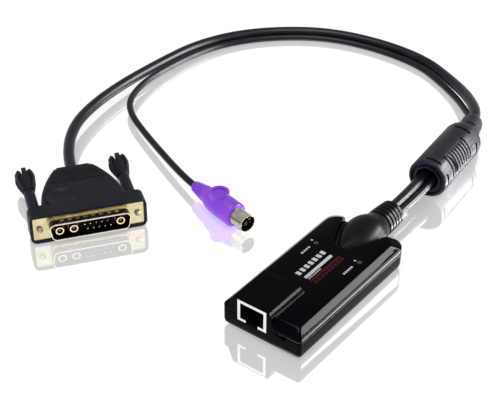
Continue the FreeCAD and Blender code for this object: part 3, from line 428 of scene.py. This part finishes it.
def print_piece(name, finish, rows, bars):
    """All the print of one colour as one piece on the lid."""
    outlines = [outline for place in rows for outline in row(*place)]
    outlines += [bar(*place) for place in bars]
    piece = patches(name, finish.material, outlines)
    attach(piece, "dongle")


def add_print():
    """Plain bars in the places of the lid's white and red words."""
    print_piece("white_print_bars", WHITE_INK, WHITE_ROWS, WHITE_BARS)
    print_piece("red_print_bar", RED_INK, RED_ROWS, RED_BARS)


# --- floor, lamps and camera ---------------------------------------------------------------------------
FLOOR_HALF = 6.0      # half the floor's width, in metres
FLOOR_GAP = 0.2 * MM  # from the underside of the object to the floor
MIRROR = 0.65         # how much of a reflected thing the floor shows
MIRROR_ROUGH = 0.04   # softness of the floor's reflections
FLOOR_GLOW = 0.44     # the floor's own light, as seen and in reflections
FLOOR_BOUNCE = 0.12   # the same light where it falls on the object
FLOOR_SHADE = 0.26    # colour of the part of the floor that takes shadow
ROOM_SEEN = 1.0       # brightness of the room to the camera
ROOM_GLOSS = 0.66     # brightness of the room in reflections
ROOM_SOFT = 0.42      # strength of the room as soft light


def add_floor():
    """A white floor with a clear faint reflection and a weak contact shadow."""
    points = [(x * FLOOR_HALF, y * FLOOR_HALF, -FLOOR_GAP) for x, y in ((-1, -1), (1, -1), (1, 1), (-1, 1))]
    material = bpy.data.materials.new("studio_floor")
    material.use_nodes = True
    nodes, links = material.node_tree.nodes, material.node_tree.links
    nodes.remove(nodes["Principled BSDF"])
    glow = nodes.new("ShaderNodeEmission")
    path, dim = nodes.new("ShaderNodeLightPath"), nodes.new("ShaderNodeMapRange")
    dim.inputs["To Min"].default_value = FLOOR_GLOW
    dim.inputs["To Max"].default_value = FLOOR_BOUNCE
    links.new(path.outputs["Is Diffuse Ray"], dim.inputs["Value"])
    links.new(dim.outputs["Result"], glow.inputs["Strength"])
    shade = nodes.new("ShaderNodeBsdfDiffuse")
    shade.inputs["Color"].default_value = (FLOOR_SHADE, FLOOR_SHADE, FLOOR_SHADE, 1)
    gloss = nodes.new("ShaderNodeBsdfAnisotropic")
    gloss.inputs["Color"].default_value = (MIRROR, MIRROR, MIRROR, 1)
    gloss.inputs["Roughness"].default_value = MIRROR_ROUGH
    lit, whole = nodes.new("ShaderNodeAddShader"), nodes.new("ShaderNodeAddShader")
    links.new(glow.outputs[0], lit.inputs[0])
    links.new(shade.outputs[0], lit.inputs[1])
    links.new(lit.outputs[0], whole.inputs[0])
    links.new(gloss.outputs[0], whole.inputs[1])
    links.new(whole.outputs[0], nodes["Material Output"].inputs["Surface"])
    floor = mesh_piece("floor", points, [(0, 1, 2, 3)], material, smooth=False)


def add_world():
    """White room to the camera, a little darker in reflections and as soft light."""
    world = bpy.data.worlds.new("studio")
    bpy.context.scene.world = world
    world.use_nodes = True
    nodes, links = world.node_tree.nodes, world.node_tree.links
    background = nodes["Background"]
    background.inputs["Color"].default_value = (1, 1, 1, 1)
    path = nodes.new("ShaderNodeLightPath")
    strength = None
    for ray, level in (("Is Camera Ray", ROOM_SEEN), ("Is Glossy Ray", ROOM_GLOSS)):
        step = nodes.new("ShaderNodeMath")
        step.operation = "MULTIPLY_ADD"
        step.inputs[1].default_value = level - ROOM_SOFT
        links.new(path.outputs[ray], step.inputs[0])
        if strength:
            links.new(strength.outputs[0], step.inputs[2])
        else:
            step.inputs[2].default_value = ROOM_SOFT
        strength = step
    links.new(strength.outputs[0], background.inputs["Strength"])


# Lamps: name, place, target, size, brightness, and whether it shows in reflections only.
LAMPS = [
    ("overhead", (-0.1, -0.25, 1.3), (-0.08, 0.05, 0), (0.9, 0.7), 3.0, False),
    ("overhead_gloss", (-0.05, -0.15, 1.2), (-0.05, 0.05, 0), (1.0, 0.5), 9, True),
    ("rear_panel", (0.70, 0.78, 0.59), (0, 0, 0), (0.7, 0.34), 60, True),
    ("rear_strip", (0.76, 0.68, 0.16), (0, 0.03, 0.01), (0.7, 0.14), 60, True),
]


def softbox(name, place, target, size, radiance, only_gloss):
    """A rectangular lamp of a given brightness that faces a target."""
    data = bpy.data.lights.new(name, "AREA")
    data.shape = "RECTANGLE"
    data.size, data.size_y = size
    data.energy = radiance * math.pi * size[0] * size[1]
    lamp = bpy.data.objects.new(name, data)
    lamp.location = place
    lamp.rotation_euler = (Vector(target) - Vector(place)).to_track_quat("-Z", "Y").to_euler()
    lamp.visible_camera = False
    lamp.visible_diffuse = not only_gloss
    bpy.context.scene.collection.objects.link(lamp)


CAMERA_PLACE = (0.2602, -0.4022, 0.3885)
CAMERA_TARGET = (-0.0675, 0.029, 0.0)
CAMERA_ROLL = -0.22  # degrees about the line of sight
SENSOR_WIDTH = 36
FOCAL_LENGTH = 97.2


def add_camera():
    """The camera, level apart from a slight roll."""
    data = bpy.data.cameras.new("camera")
    data.sensor_width = SENSOR_WIDTH
    data.lens = FOCAL_LENGTH
    data.clip_start = 0.01
    camera = bpy.data.objects.new("camera", data)
    camera.location = CAMERA_PLACE
    aim = Vector(CAMERA_TARGET) - camera.location
    level = aim.to_track_quat("-Z", "Y")
    roll = Quaternion(aim.normalized(), math.radians(CAMERA_ROLL))
    camera.rotation_euler = (roll @ level).to_euler()
    bpy.context.scene.collection.objects.link(camera)
    bpy.context.scene.camera = camera


finish_nodes()
add_cords()
add_print()
add_floor()
add_world()
for lamp in LAMPS:
    softbox(*lamp)
add_camera()
bpy.context.scene.view_settings.view_transform = "Standard"
